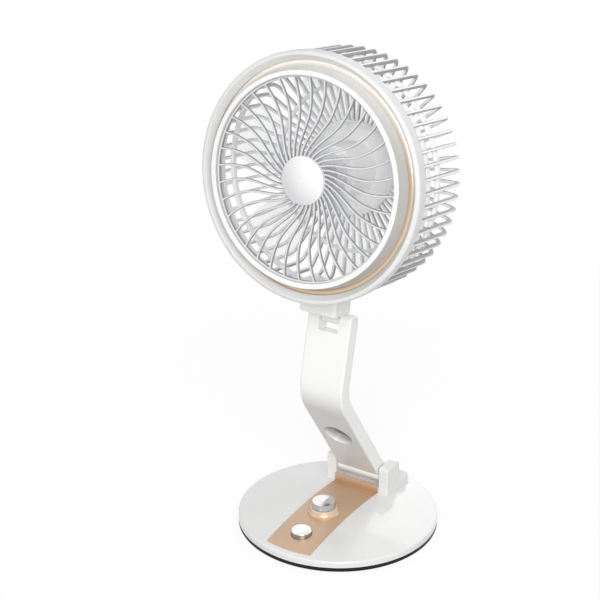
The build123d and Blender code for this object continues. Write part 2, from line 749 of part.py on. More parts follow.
arm_screw = screw(arm_screw_head_r, arm_screw_head_h, arm_screw_r, arm_screw_len)
with BuildPart() as arm_screws:
    with Locations(*[Plane(s.origin - s.z_dir * seat_gap, z_dir=-s.z_dir) for s in arm_screw_spots]):
        add(arm_screw)
arm_screws.part.label = "arm_screws"
export_step(arm_screws.part, "parts/arm_screws.step")

# Head hinge pin and friction washers in the fork
with BuildPart() as head_hinge_pin:
    with BuildSketch(Plane.YZ):
        with Locations(high_end):
            Circle(neck_pin_r)
    extrude(amount=arm_half_w - ear_skin - seat_gap, both=True)
head_hinge_pin.part.label = "head_hinge_pin"
export_step(head_hinge_pin.part, "parts/head_hinge_pin.step")

with BuildPart() as head_hinge_washers:
    for side in (-1, 1):
        with BuildSketch(Plane.YZ.offset(side * slot_half_w)):
            with Locations(high_end):
                Circle(neck_washer_r)
                Circle(neck_pin_r + pin_fit, mode=Mode.SUBTRACT)
        extrude(amount=-side * washer_t)
head_hinge_washers.part.label = "head_hinge_washers"
export_step(head_hinge_washers.part, "parts/head_hinge_washers.step")

# Head: its axis points the way the fan blows, and depths are measured along it from the head's datum,
# the plane at the bezel's rim that the light ring stands ahead of and the basket lies behind
ahead = Vector(0, -cos(radians(head_tilt)), sin(radians(head_tilt)))
upward = Vector(0, sin(radians(head_tilt)), cos(radians(head_tilt)))
neck = Vector(0, neck_y, neck_z)
cage_r = bezel_r - cage_step
neck_back = cage_depth - neck_inset
neck_drop = cage_r + neck_len
centre = neck + ahead * neck_back + upward * neck_drop
face_plane = Plane(centre, x_dir=(1, 0, 0), z_dir=ahead)
cut_plane = Plane(centre, x_dir=upward, z_dir=(1, 0, 0))
head_axis = Axis(centre, ahead)
neck_plane = Plane(neck, x_dir=ahead, z_dir=(-1, 0, 0))
floor_front = -dish_depth - ring_t
floor_back = floor_front - floor_t
dish_r = bezel_r - bezel_rim_w
light_out_r = dish_r - ring_w - ring_gap
light_front_r = light_out_r - light_taper
light_in_r = light_front_r - light_w
grille_r = light_in_r - seat_gap
grille_flange_r = grille_r + grille_flange_w
grille_back = grille_front - rib_depth
flange_front = grille_back + grille_flange_t
shelf_back = grille_back - floor_t
shelf_r = grille_flange_r + shelf_wall - seat_gap
head_screw_circle = light_in_r + head_screw_r + head_screw_edge


def turned(points):
    """Ring of the head turned from its section, given as radius and depth."""
    with BuildPart() as ring:
        with BuildSketch(cut_plane):
            with BuildLine():
                Polyline(*points, close=True)
            make_face()
        revolve(axis=head_axis)
    return ring.part


def band(inner, outer, back, front):
    """Plain ring of the head with a rectangular section."""
    return turned([(inner, back), (outer, back), (outer, front), (inner, front)])


# Outer bezel with its dished front, the floor that carries the rings and the raised shelf for the grille
with BuildPart() as front_bezel:
    with BuildSketch(cut_plane):
        with BuildLine():
            FilletPolyline((bezel_r, -bezel_depth), (bezel_r, bezel_crown),
                           (dish_r + bezel_lip_w, bezel_crown), (dish_r, -dish_depth),
                           radius=[bezel_round, bezel_lip_round])
            Polyline((dish_r, -dish_depth), (dish_r, floor_front), (shelf_r + shelf_slope, floor_front),
                     (shelf_r, grille_back), (light_in_r, grille_back), (light_in_r, shelf_back),
                     (shelf_r - shelf_wall, shelf_back), (shelf_r - shelf_wall + shelf_slope, floor_back),
                     (bezel_r - bezel_wall, floor_back), (bezel_r - bezel_wall, -bezel_depth),
                     (bezel_r, -bezel_depth))
        make_face()
    revolve(axis=head_axis)
    head_screw_spots = PolarLocations(head_screw_circle, head_screw_count).locations
    with Locations(face_plane.offset(grille_back)):
        with Locations(*head_screw_spots):
            Cylinder(head_screw_r + pin_fit, 4 * floor_t, mode=Mode.SUBTRACT)
front_bezel.part.label = "front_bezel"
export_step(front_bezel.part, "parts/front_bezel.step")

with BuildPart() as gold_ring:
    with BuildSketch(cut_plane):
        with BuildLine():
            Polyline((dish_r - ring_w, floor_front + ring_edge), (dish_r - ring_w, floor_front),
                     (dish_r - seat_gap, floor_front), (dish_r - seat_gap, floor_front + ring_edge))
            ThreePointArc((dish_r - seat_gap, floor_front + ring_edge),
                          (dish_r - (ring_w + seat_gap) / 2, floor_front + ring_t),
                          (dish_r - ring_w, floor_front + ring_edge))
        make_face()
    revolve(axis=head_axis)
gold_ring.part.label = "gold_ring"
export_step(gold_ring.part, "parts/gold_ring.step")

# Ring light: hollow diffuser open at the back, and the board of LEDs inside it
with BuildPart() as light_ring:
    add(turned([(light_out_r, floor_front), (light_front_r, light_front), (light_in_r, light_front),
                (light_in_r, flange_front), (light_in_r + light_wall, flange_front),
                (light_in_r + light_wall, light_front - light_wall),
                (light_front_r - light_wall, light_front - light_wall),
                (light_out_r - light_wall, floor_front)]))
    fillet(light_ring.edges().filter_by(GeomType.CIRCLE).group_by(
        lambda e: round((e.arc_center - centre).dot(ahead), 3))[-1], light_round)
light_ring.part.label = "light_ring"
export_step(light_ring.part, "parts/light_ring.step")

led_r = (light_in_r + light_front_r) / 2
led_board_half = (light_front_r - light_in_r) / 2 - light_wall - seat_gap
with BuildPart() as led_board:
    add(band(led_r - led_board_half, led_r + led_board_half, flange_front, flange_front + led_t))
    with BuildSketch(face_plane.offset(flange_front + led_t)):
        with PolarLocations(led_r, led_count):
            Rectangle(min(led_size, 2 * led_board_half), led_size)
    extrude(amount=led_t)
led_board.part.label = "led_board"
export_step(led_board.part, "parts/led_board.step")


# Front grille: S-shaped ribs between the hub and the rim
rib_mid_r = grille_r - rib_hook_len


def rib_angle(radius):
    """Sweep of a front rib at a radius: wide near the hub, with a small return at the rim."""
    if radius < rib_mid_r:
        return rib_turn * ((rib_mid_r - radius) / (rib_mid_r - hub_r)) ** 2
    return rib_hook * ((radius - rib_mid_r) / (grille_r - rib_mid_r)) ** 2


def polar(radius, angle):
    """Point at a radius and an angle in degrees."""
    return (radius * cos(radians(angle)), radius * sin(radians(angle)))


cap_r = hub_r - cap_inset
rib_start = hub_r - 1.0
rib_end = grille_r - grille_ring_w / 2
rib_steps = 6
rib_radii = [rib_start + (rib_end - rib_start) * step / rib_steps for step in range(rib_steps + 1)]
with BuildSketch() as front_rib:
    with BuildLine():
        Spline(*[polar(radius, rib_angle(radius)) for radius in rib_radii])
    trace(line_width=rib_w)

with BuildPart() as front_grille:
    with BuildSketch(face_plane.offset(grille_back)):
        with PolarLocations(0, rib_count):
            add(front_rib.sketch)
        Circle(hub_r)
    extrude(amount=rib_depth)
    add(band(grille_r - grille_ring_w, grille_r, grille_back, grille_front))
    add(band(grille_r - grille_ring_w, grille_flange_r, grille_back, flange_front))
    with Locations(face_plane.offset(grille_back)):
        with Locations(*head_screw_spots):
            Cylinder(head_screw_r + pin_fit, 2 * head_screw_bite, mode=Mode.SUBTRACT)
front_grille.part.label = "front_grille"
export_step(front_grille.part, "parts/front_grille.step")

with BuildPart() as grille_cap:
    with BuildSketch(cut_plane):
        with BuildLine():
            Polyline((0, grille_front), (cap_r, grille_front), (cap_r, grille_front + cap_rim))
            ThreePointArc(*cap_points(cap_r, grille_front + cap_rim, grille_front + cap_rim + cap_dome))
            Line((0, grille_front + cap_rim + cap_dome), (0, grille_front))
        make_face()
    revolve(axis=head_axis)
grille_cap.part.label = "grille_cap"
export_step(grille_cap.part, "parts/grille_cap.step")

# Screws that hold the front grille to the bezel, put in from behind
with BuildPart() as head_screw:
    with BuildSketch():
        Circle(head_screw_head_r)
    extrude(amount=head_screw_head_h)
    with BuildSketch():
        Circle(head_screw_r)
    extrude(amount=head_screw_head_h + floor_t + head_screw_bite - seat_gap)
with BuildPart() as head_screws:
    with Locations(face_plane.offset(shelf_back - head_screw_head_h)):
        with Locations(*head_screw_spots):
            add(head_screw.part)
head_screws.part.label = "head_screws"
export_step(head_screws.part, "parts/head_screws.step")

# Basket: every rib runs back along the drum and turns in to the motor plate
rib_in_r = cage_r - cage_rib_t
rib_front = -bezel_depth - seat_gap
rib_back = -cage_depth
rib_inner_back = rib_back + cage_rib_t
with BuildPart() as cage_rib:
    with BuildSketch(Plane.XZ):
        with BuildLine():
            outer = FilletPolyline((cage_r, rib_front), (cage_r, rib_back), (plate_r - 1, rib_back),
                                   radius=cage_corner_r)
            inner = FilletPolyline((rib_in_r, rib_front), (rib_in_r, rib_inner_back),
                                   (plate_r - 1, rib_inner_back), radius=cage_corner_r - cage_rib_t)
            Line(outer @ 0, inner @ 0)
            Line(outer @ 1, inner @ 1)
        make_face()
    extrude(amount=cage_rib_w / 2, both=True)

ring_out_r = bezel_r - bezel_wall - seat_gap
pad_back = -neck_back + collar_back - pad_margin
pad_front = -neck_back + collar_ahead + pad_margin
plate_front = rib_back + plate_t
back_hoop_r = plate_r + back_hoop_step
pad_in_r = rib_in_r - 0.8
neck_screw_spots = [centre + ahead * (collar_ahead * part - neck_back) - upward * pad_in_r
                    for part in (0.2, 0.6)]
with BuildPart() as rear_grille:
    with Locations(face_plane):
        with PolarLocations(0, cage_rib_count, start_angle=90):
            add(cage_rib.part)
    add(band(ring_out_r - cage_ring_w, ring_out_r, -cage_ring_d, floor_back))
    for depth in (front_hoop_d, mid_hoop_d):
        add(band(rib_in_r - hoop_t + 0.6, rib_in_r + 0.6, -depth - hoop_w / 2, -depth + hoop_w / 2))
    add(band(back_hoop_r - back_hoop_w / 2, back_hoop_r + back_hoop_w / 2, rib_inner_back - 0.6,
             rib_inner_back + hoop_t - 0.6))
    add(band(plate_r - plate_rim_w, plate_r, rib_back, rib_back + plate_rim_h))
    with BuildSketch(face_plane.offset(rib_back)):
        Circle(plate_r - plate_rim_w / 2)
    extrude(amount=plate_t)
    with BuildSketch(face_plane.offset(pad_back)):
        Circle(cage_r)
        Circle(pad_in_r, mode=Mode.SUBTRACT)
        with BuildLine():
            Polyline((0, 0), polar(2 * cage_r, -90 - pad_turn), polar(2 * cage_r, -90 + pad_turn), close=True)
        make_face(mode=Mode.INTERSECT)
    extrude(amount=pad_front - pad_back)
    with Locations(*[Plane(spot, z_dir=upward) for spot in neck_screw_spots]):
        CounterSinkHole(neck_screw_r + pin_fit, neck_screw_head_r + seat_gap, depth=3 * cage_rib_t)
    with Locations(Plane(centre + ahead * rib_back, x_dir=(1, 0, 0), z_dir=-ahead)):
        with PolarLocations(motor_screw_circle, 3, start_angle=-90):
            CounterSinkHole(motor_screw_r + pin_fit, motor_screw_head_r + seat_gap, depth=3 * plate_t)
rear_grille.part.label = "rear_grille"
export_step(rear_grille.part, "parts/rear_grille.step")

# Neck: collar under the drum and the tongue that sits in the fork
tongue_half_w = slot_half_w - washer_t - run_gap
with BuildPart() as neck_bracket:
    with BuildSketch(neck_plane):
        with Locations((collar_back, collar_low)):
            Rectangle(collar_ahead - collar_back, neck_drop - cage_r + 3.0 - collar_low,
                      align=(Align.MIN, Align.MIN))
    extrude(amount=collar_half_w, both=True)
    fillet(neck_bracket.edges().filter_by(lambda e: abs((e % 0.5).dot(upward)) > 0.99), neck_round)
    fillet(neck_bracket.edges().group_by(lambda e: round((e.center() - neck).dot(upward), 2))[0],
           neck_edge_round)
    with BuildSketch(neck_plane):
        Circle(tongue_r)
        with BuildLine():
            Polyline((-tongue_r, 0), (collar_back, collar_low + 1.5),
                     (collar_back + 2 * tongue_r, collar_low + 1.5), (tongue_r, 0), close=True)
        make_face()
    extrude(amount=tongue_half_w, both=True)
    with Locations(face_plane.offset(-neck_back)):
        Cylinder(cage_r + pin_fit, 4 * collar_ahead, mode=Mode.SUBTRACT)
    with BuildSketch(neck_plane):
        Circle(neck_pin_r + turn_fit)
    extrude(amount=2 * collar_half_w, both=True, mode=Mode.SUBTRACT)
    for spot in neck_screw_spots:
        with BuildSketch(Plane(spot, z_dir=upward)):
            Circle(neck_screw_r + pin_fit)
        extrude(amount=-neck_screw_len - run_gap, mode=Mode.SUBTRACT)
neck_bracket.part.label = "neck_bracket"
export_step(neck_bracket.part, "parts/neck_bracket.step")

neck_screw = screw(neck_screw_head_r, neck_screw_head_h, neck_screw_r, neck_screw_len)
with BuildPart() as neck_screws:
    with Locations(*[Plane(spot - upward * seat_gap, z_dir=-upward) for spot in neck_screw_spots]):
        add(neck_screw)
neck_screws.part.label = "neck_screws"
export_step(neck_screws.part, "parts/neck_screws.step")

# Motor: cup on the plate, end bell, bearings and windings
hub_back = -impeller_d - impeller_hub_len / 2
hub_front = hub_back + impeller_hub_len
motor_front = hub_back - impeller_gap - bell_t
motor_len = motor_front - plate_front
motor_inside = plate_front + motor_wall
core_back = motor_inside + bearing_w + core_clear
core_front = motor_front - core_clear
with BuildPart() as motor_housing:
    with BuildSketch(face_plane.offset(plate_front)):
        Circle(motor_r)
    extrude(amount=motor_len)
    with BuildSketch(face_plane.offset(motor_front)):
        Circle(motor_r - motor_wall)
    extrude(amount=-motor_len + motor_wall, mode=Mode.SUBTRACT)
    add(band(bearing_r + pin_fit, bearing_r + motor_wall, motor_inside - 0.2, motor_inside + bearing_w))
    with Locations(face_plane.offset(plate_front)):
        with PolarLocations(motor_screw_circle, 3, start_angle=90):
            Cylinder(motor_screw_r + pin_fit, 4 * motor_wall, mode=Mode.SUBTRACT)
motor_housing.part.label = "motor_housing"
export_step(motor_housing.part, "parts/motor_housing.step")

with BuildPart() as motor_end_bell:
    add(band(bearing_r + pin_fit, motor_r, motor_front, motor_front + bell_t))
    bell_edges = motor_end_bell.edges().filter_by(GeomType.CIRCLE)
    fillet(bell_edges.filter_by(lambda e: abs(e.radius - motor_r) < 0.01).sort_by(Axis.Y)[0], bell_round)
motor_end_bell.part.label = "motor_end_bell"
export_step(motor_end_bell.part, "parts/motor_end_bell.step")

with BuildPart() as motor_bearings:
    add(band(motor_shaft_r + turn_fit, bearing_r, motor_inside, motor_inside + bearing_w))
    add(band(motor_shaft_r + turn_fit, bearing_r, motor_front, motor_front + bearing_w))
motor_bearings.part.label = "motor_bearings"
export_step(motor_bearings.part, "parts/motor_bearings.step")

with BuildPart() as motor_stator:
    add(band(rotor_r + air_gap, motor_r - motor_wall - pin_fit, core_back, core_front))
motor_stator.part.label = "motor_stator"
export_step(motor_stator.part, "parts/motor_stator.step")

motor_screw = screw(motor_screw_head_r, motor_screw_head_h, motor_screw_r, plate_t + motor_wall - 0.3)
with BuildPart() as motor_screws:
    with Locations(face_plane.offset(rib_back + seat_gap)):
        with PolarLocations(motor_screw_circle, 3, start_angle=90):
            add(motor_screw)
motor_screws.part.label = "motor_screws"
export_step(motor_screws.part, "parts/motor_screws.step")

# Shaft, rotor, impeller and nut
with BuildPart() as motor_shaft:
    with BuildSketch(face_plane.offset(motor_inside + run_gap)):
        Circle(motor_shaft_r)
    extrude(amount=hub_front + nut_t + 0.4 - motor_inside - run_gap)
motor_shaft.part.label = "motor_shaft"
export_step(motor_shaft.part, "parts/motor_shaft.step")

with BuildPart() as motor_rotor:
    add(band(motor_shaft_r + pin_fit, rotor_r, core_back, core_front))
motor_rotor.part.label = "motor_rotor"
export_step(motor_rotor.part, "parts/motor_rotor.step")

blade_tip_r = ring_out_r - cage_ring_w - tip_clear
blade_mid_r = (blade_root_r + blade_tip_r) / 2
tip_half = blade_tip_r * sin(radians(blade_spread)) + 3.0
blade_root = (blade_root_r, blade_root_w - 1.0, root_pitch, root_camber)
blade_middle = (blade_mid_r, (blade_root_w + tip_half) / 2 + 2.0, mid_pitch, mid_camber)
blade_end = (blade_tip_r + 2.0, tip_half, tip_pitch, tip_camber)
with BuildPart() as blade:
    for radius, half_w, pitch, camber in (blade_root, blade_middle, blade_end):
        chord = 2 * half_w / cos(radians(pitch))
        section = Plane((radius, 0, -impeller_d), x_dir=(0, 1, 0), z_dir=(1, 0, 0))
        with BuildSketch(section.rotated((0, 0, pitch))):
            with BuildLine():
                ThreePointArc((-chord / 2, blade_t / 4), (0, camber + blade_t / 2), (chord / 2, blade_t / 4))
                Line((chord / 2, blade_t / 4), (chord / 2, -blade_t / 4))
                ThreePointArc((chord / 2, -blade_t / 4), (0, camber - blade_t / 2),
                              (-chord / 2, -blade_t / 4))
                Line((-chord / 2, -blade_t / 4), (-chord / 2, blade_t / 4))
            make_face()
    loft()
    with BuildSketch(Plane.XY.offset(-2 * impeller_d)) as blade_outline:
        Circle(blade_tip_r)
        with BuildLine():
            Polyline((0.7 * blade_root_r, -blade_root_w), polar(1.2 * blade_tip_r, -blade_spread),
                     polar(1.2 * blade_tip_r, blade_spread), (0.7 * blade_root_r, blade_root_w), close=True)
        make_face(mode=Mode.INTERSECT)
        fillet(blade_outline.vertices().group_by(Axis.X)[-1], blade_tip_round)
    extrude(amount=2 * impeller_d, mode=Mode.INTERSECT)

with BuildPart() as impeller:
    add(band(blade_root_r - 0.2, impeller_hub_r, hub_back, hub_front))
    add(band(motor_shaft_r + pin_fit, impeller_hub_r, hub_front - 3.0, hub_front))
    add(band(motor_shaft_r + pin_fit, 2.5 * motor_shaft_r, hub_back, hub_front))
    with Locations(face_plane):
        with PolarLocations(0, blade_count, start_angle=90):
            add(blade.part)
impeller.part.label = "impeller"
export_step(impeller.part, "parts/impeller.step")

with BuildPart() as impeller_nut:
    with BuildSketch(face_plane.offset(hub_front)):
        RegularPolygon(nut_r, 6)
        Circle(motor_shaft_r + pin_fit, mode=Mode.SUBTRACT)
    extrude(amount=nut_t)
impeller_nut.part.label = "impeller_nut"
export_step(impeller_nut.part, "parts/impeller_nut.step")
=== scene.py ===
import math

import bmesh
import bpy
from mathutils import Matrix, Vector


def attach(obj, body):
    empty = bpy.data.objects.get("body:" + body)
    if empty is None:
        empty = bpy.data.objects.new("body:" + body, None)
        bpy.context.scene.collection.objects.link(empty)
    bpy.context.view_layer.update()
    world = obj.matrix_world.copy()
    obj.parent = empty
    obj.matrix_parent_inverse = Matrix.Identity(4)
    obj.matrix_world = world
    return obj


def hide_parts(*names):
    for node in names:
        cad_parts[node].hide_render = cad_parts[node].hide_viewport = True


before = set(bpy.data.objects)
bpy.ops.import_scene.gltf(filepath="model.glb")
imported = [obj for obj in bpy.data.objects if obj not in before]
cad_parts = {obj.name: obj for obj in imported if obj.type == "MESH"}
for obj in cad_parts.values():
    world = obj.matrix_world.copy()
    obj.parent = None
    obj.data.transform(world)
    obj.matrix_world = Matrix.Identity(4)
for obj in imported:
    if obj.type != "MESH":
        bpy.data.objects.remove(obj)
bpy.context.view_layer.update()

MM = 0.001
scene = bpy.context.scene
scene.view_settings.view_transform = "Standard"

# The head's own frame: X across, Y up the face, Z the way it blows
TILT = math.radians(8.8)
HEAD_CENTRE = Vector((0.0, -40.6219, 264.6027)) * MM
AHEAD = Vector((0.0, -math.cos(TILT), math.sin(TILT)))
UPWARD = Vector((0.0, math.sin(TILT), math.cos(TILT)))
HEAD = Matrix(((1.0, UPWARD.x, AHEAD.x, HEAD_CENTRE.x),
               (0.0, UPWARD.y, AHEAD.y, HEAD_CENTRE.y),
               (0.0, UPWARD.z, AHEAD.z, HEAD_CENTRE.z),
               (0.0, 0.0, 0.0, 1.0)))


# Materials, several with painted light and shade multiplied into their colour
NOISE_LOW = 0.3          # most of a noise lies between these two values
NOISE_HIGH = 0.7
DRIFT_SCALE = 35.0       # broad noise that shifts the tone
DRIFT_DETAIL = 2.0
GRAIN_DETAIL = 4.0
RELIEF_DEPTH = 0.0002
COAT_ROUGH = 0.08
SUBSURFACE_REACH = 0.004


def new_material(name):
    """New node material, its tree and its shader."""
    mat = bpy.data.materials.new(name)
    mat.use_nodes = True
    shader = mat.node_tree.nodes["Principled BSDF"]
    return mat, mat.node_tree, shader


def link(tree, source, out, target, into):
    """Links one node's output to another's input."""
    tree.links.new(source.outputs[out], target.inputs[into])


def noise_node(tree, scale, detail, stretch=None):
    """Noise in object coordinates, stretched along an axis for brushed finishes."""
    coord = tree.nodes.new("ShaderNodeTexCoord")
    mapping = tree.nodes.new("ShaderNodeMapping")
    if stretch:
        mapping.inputs["Scale"].default_value = stretch
    noise = tree.nodes.new("ShaderNodeTexNoise")
    noise.inputs["Scale"].default_value = scale
    noise.inputs["Detail"].default_value = detail
    link(tree, coord, "Object", mapping, "Vector")
    link(tree, mapping, "Vector", noise, "Vector")
    return noise


def ranged(tree, noise, low, high):
    """Noise brought to a range of values."""
    node = tree.nodes.new("ShaderNodeMapRange")
    node.inputs["From Min"].default_value = NOISE_LOW
    node.inputs["From Max"].default_value = NOISE_HIGH
    node.inputs["To Min"].default_value = low
    node.inputs["To Max"].default_value = high
    link(tree, noise, "Fac", node, "Value")
    return node


def tinted(tree, noise, dark, light):
    """Colour that drifts between two close tones."""
    ramp = tree.nodes.new("ShaderNodeValToRGB")
    ramp.color_ramp.elements[0].position = NOISE_LOW
    ramp.color_ramp.elements[0].color = (*dark, 1)
    ramp.color_ramp.elements[1].position = NOISE_HIGH
    ramp.color_ramp.elements[1].color = (*light, 1)
    link(tree, noise, "Fac", ramp, "Fac")
    return ramp


def bumped(tree, noise, shader, strength):
    """Fine relief from a noise."""
    bump = tree.nodes.new("ShaderNodeBump")
    bump.inputs["Strength"].default_value = strength
    bump.inputs["Distance"].default_value = RELIEF_DEPTH
    link(tree, noise, "Fac", bump, "Height")
    link(tree, bump, "Normal", shader, "Normal")


def facing(tree, direction):
    """How far the surface faces a direction, from -1 to 1."""
    coord = tree.nodes.new("ShaderNodeTexCoord")
    toward = tree.nodes.new("ShaderNodeVectorMath")
    toward.operation = "DOT_PRODUCT"
    toward.inputs[1].default_value = direction
    link(tree, coord, "Normal", toward, 0)
    return toward


def sideways(tree, axis):
    """How far the surface faces round the head's axis, from 0 to 1: the sides of a rib."""
    coord = tree.nodes.new("ShaderNodeTexCoord")
    reach = tree.nodes.new("ShaderNodeVectorMath")
    reach.operation = "SUBTRACT"
    reach.inputs[1].default_value = HEAD_CENTRE
    link(tree, coord, "Object", reach, 0)
    around = tree.nodes.new("ShaderNodeVectorMath")
    around.operation = "CROSS_PRODUCT"
    around.inputs[1].default_value = axis
    link(tree, reach, "Vector", around, 0)
    unit = tree.nodes.new("ShaderNodeVectorMath")
    unit.operation = "NORMALIZE"
    link(tree, around, "Vector", unit, 0)
    toward = tree.nodes.new("ShaderNodeVectorMath")
    toward.operation = "DOT_PRODUCT"
    link(tree, coord, "Normal", toward, 0)
    link(tree, unit, "Vector", toward, 1)
    size = tree.nodes.new("ShaderNodeMath")
    size.operation = "ABSOLUTE"
    link(tree, toward, "Value", size, 0)
    return size


def distance_along(tree, direction):
    """Distance of a point of the surface along a direction, in metres."""
    coord = tree.nodes.new("ShaderNodeTexCoord")
    toward = tree.nodes.new("ShaderNodeVectorMath")
    toward.operation = "DOT_PRODUCT"
    toward.inputs[1].default_value = direction
    link(tree, coord, "Object", toward, 0)
    return toward


def distance_from(tree, point):
    """Distance of a point of the surface from a fixed point, in metres."""
    coord = tree.nodes.new("ShaderNodeTexCoord")
    reach = tree.nodes.new("ShaderNodeVectorMath")
    reach.operation = "DISTANCE"
    reach.inputs[1].default_value = point
    link(tree, coord, "Object", reach, 0)
    return reach


def painted_light_tone(tree, tone, out, painted_light):
    """Painted light and shade: tone multiplied by a low tone at one end of a measure, and left as it is at
    the other.
    """
    measure, argument, low, high, low_tone = painted_light
    share = tree.nodes.new("ShaderNodeMapRange")
    share.inputs["From Min"].default_value = low
    share.inputs["From Max"].default_value = high
    link(tree, measure(tree, argument), "Value", share, "Value")
    ramp = tree.nodes.new("ShaderNodeValToRGB")
    ramp.color_ramp.elements[0].color = (*low_tone, 1)
    ramp.color_ramp.elements[1].color = (1, 1, 1, 1)
    link(tree, share, "Result", ramp, "Fac")
    product = tree.nodes.new("ShaderNodeVectorMath")
    product.operation = "MULTIPLY"
    link(tree, tone, out, product, 0)
    link(tree, ramp, "Color", product, 1)
    return product


def finish_and_painted_light_material(name, colour, rough, drift=0.02, metallic=0.0, grain=900.0, relief=0.04, stretch=None,
                    coat=0.0, spread=0.06, subsurface=0.0, alpha=1.0, specular=0.5,
                    coat_ior=1.5, painted_lights=()):
    """Moulded or brushed finish: slight drift of tone, uneven gloss and fine relief.

    Each painted light is painted shade, a painted highlight or a painted reflection multiplied into the
    colour, given as a measure of the surface, its argument, where the low tone and the full tone are
    reached, and the low tone.
    """
    mat, tree, shader = new_material(name)
    broad = noise_node(tree, DRIFT_SCALE, DRIFT_DETAIL)
    dark = tuple(max(c * (1 - drift), 0) for c in colour)
    light = tuple(min(c * (1 + drift), 1) for c in colour)
    tone = tinted(tree, broad, dark, light)
    out = "Color"
    for painted_light in painted_lights:
        tone = painted_light_tone(tree, tone, out, painted_light)
        out = "Vector"
    link(tree, tone, out, shader, "Base Color")
    fine = noise_node(tree, grain, GRAIN_DETAIL, stretch)
    link(tree, ranged(tree, fine, rough - spread / 2, rough + spread / 2), "Result", shader, "Roughness")
    bumped(tree, fine, shader, relief)
    shader.inputs["Metallic"].default_value = metallic
    shader.inputs["Alpha"].default_value = alpha
    shader.inputs["Specular IOR Level"].default_value = specular
    shader.inputs["Coat Weight"].default_value = coat
    shader.inputs["Coat Roughness"].default_value = COAT_ROUGH
    shader.inputs["Coat IOR"].default_value = coat_ior
    if subsurface:
        shader.inputs["Subsurface Weight"].default_value = subsurface
        shader.inputs["Subsurface Radius"].default_value = (SUBSURFACE_REACH,) * 3
        shader.inputs["Subsurface Scale"].default_value = 1.0
    return mat


WHITE = (0.86, 0.86, 0.85)
UP = (0, 0, 1)
# Centre of the painted shade in the arm's hollow, and the directions taken as lit for the painted shade on
# the grille cap and the light ring
HOLLOW_FLOOR = Vector((0.0, 4.35, 69.56)) * MM
CAP_LIT = (AHEAD + 0.35 * UPWARD + Vector((0.35, 0, 0))).normalized()
RING_LIT = (AHEAD + 0.6 * UPWARD).normalized()
white_gloss = finish_and_painted_light_material("white_gloss", WHITE, 0.2, relief=0.02, coat=0.4)
base_white = finish_and_painted_light_material("base_white", (0.76, 0.76, 0.755), 0.3, relief=0.01, coat=1.0, coat_ior=1.6)
bezel_white = finish_and_painted_light_material("bezel_white", (0.72, 0.72, 0.715), 0.36, relief=0.01, specular=0.4)
bracket_white = finish_and_painted_light_material("bracket_white", (0.76, 0.76, 0.755), 0.34, relief=0.03)
white_satin = finish_and_painted_light_material("white_satin", WHITE, 0.34, relief=0.05)
# Arm: painted shade on faces turned down towards the base, and painted shade deepening into the hollow on
# its front
arm_white = finish_and_painted_light_material("arm_white", WHITE, 0.3, drift=0.01, grain=300.0, relief=0.01, spread=0.02,
                            painted_lights=[(facing, UP, -0.45, -0.02, (0.80, 0.79, 0.78)),
                                    (distance_from, HOLLOW_FLOOR, 0.0085, 0.0122, (0.27, 0.27, 0.26))])
# Grille cap: painted shade on the faces turned away from the lit direction
cap_white = finish_and_painted_light_material("cap_white", (0.83, 0.83, 0.835), 0.3, grain=300.0, relief=0.01, spread=0.02,
                            painted_lights=[(facing, CAP_LIT, 0.78, 0.95, (0.80, 0.80, 0.81))])
motor_white = finish_and_painted_light_material("motor_white", (0.95, 0.95, 0.955), 0.34, relief=0.04)
# Front grille: painted shade on the faces turned away from the front, the sides of the ribs
grille_white = finish_and_painted_light_material("grille_white", (0.70, 0.70, 0.71), 0.36, relief=0.04, specular=0.3,
                               painted_lights=[(facing, AHEAD, 0.3, 0.95, (0.45, 0.45, 0.46))])
# Basket: painted shade on the sides of its ribs, the faces turned round the head's axis
basket_white = finish_and_painted_light_material("basket_white", (0.93, 0.93, 0.935), 0.36, relief=0.04, specular=0.3,
                               painted_lights=[(sideways, AHEAD, 0.9, 0.3, (0.44, 0.44, 0.45))])
blade_white = finish_and_painted_light_material("blade_white", (0.93, 0.935, 0.945), 0.3, relief=0.03, alpha=0.22)
# Light ring: painted shade on the faces turned away from the lit direction, its outer wall
diffuser = finish_and_painted_light_material("diffuser", (0.90, 0.90, 0.885), 0.3, relief=0.02, subsurface=0.2,
                           painted_lights=[(facing, RING_LIT, 0.3, 0.85, (0.62, 0.61, 0.6))])
# Champagne: painted reflection leaves the riser above about 19 mm paler than the panel below 16.5 mm, and
# painted shade darkens the panel towards the rear, near the arm
champagne = finish_and_painted_light_material("champagne", (0.74, 0.59, 0.46), 0.32, drift=0.05, metallic=0.3, grain=700.0,
                            relief=0.06, stretch=(6.0, 0.25, 6.0), coat=0.2,
                            painted_lights=[(distance_along, UP, 0.0165, 0.019, (0.82, 0.73, 0.63)),
                                    (distance_along, (0, -1, 0), -0.022, 0.010, (0.84, 0.76, 0.68))])
# Gold ring: painted reflection, pale cream near the top of the head and gold lower down
champagne_ring = finish_and_painted_light_material("champagne_ring", (0.86, 0.82, 0.77), 0.3, drift=0.015, metallic=0.45,
                                 grain=250.0, relief=0.004, coat=0.3, spread=0.02,
                                 painted_lights=[(distance_along, UPWARD, 0.270, 0.320, (0.74, 0.60, 0.47))])
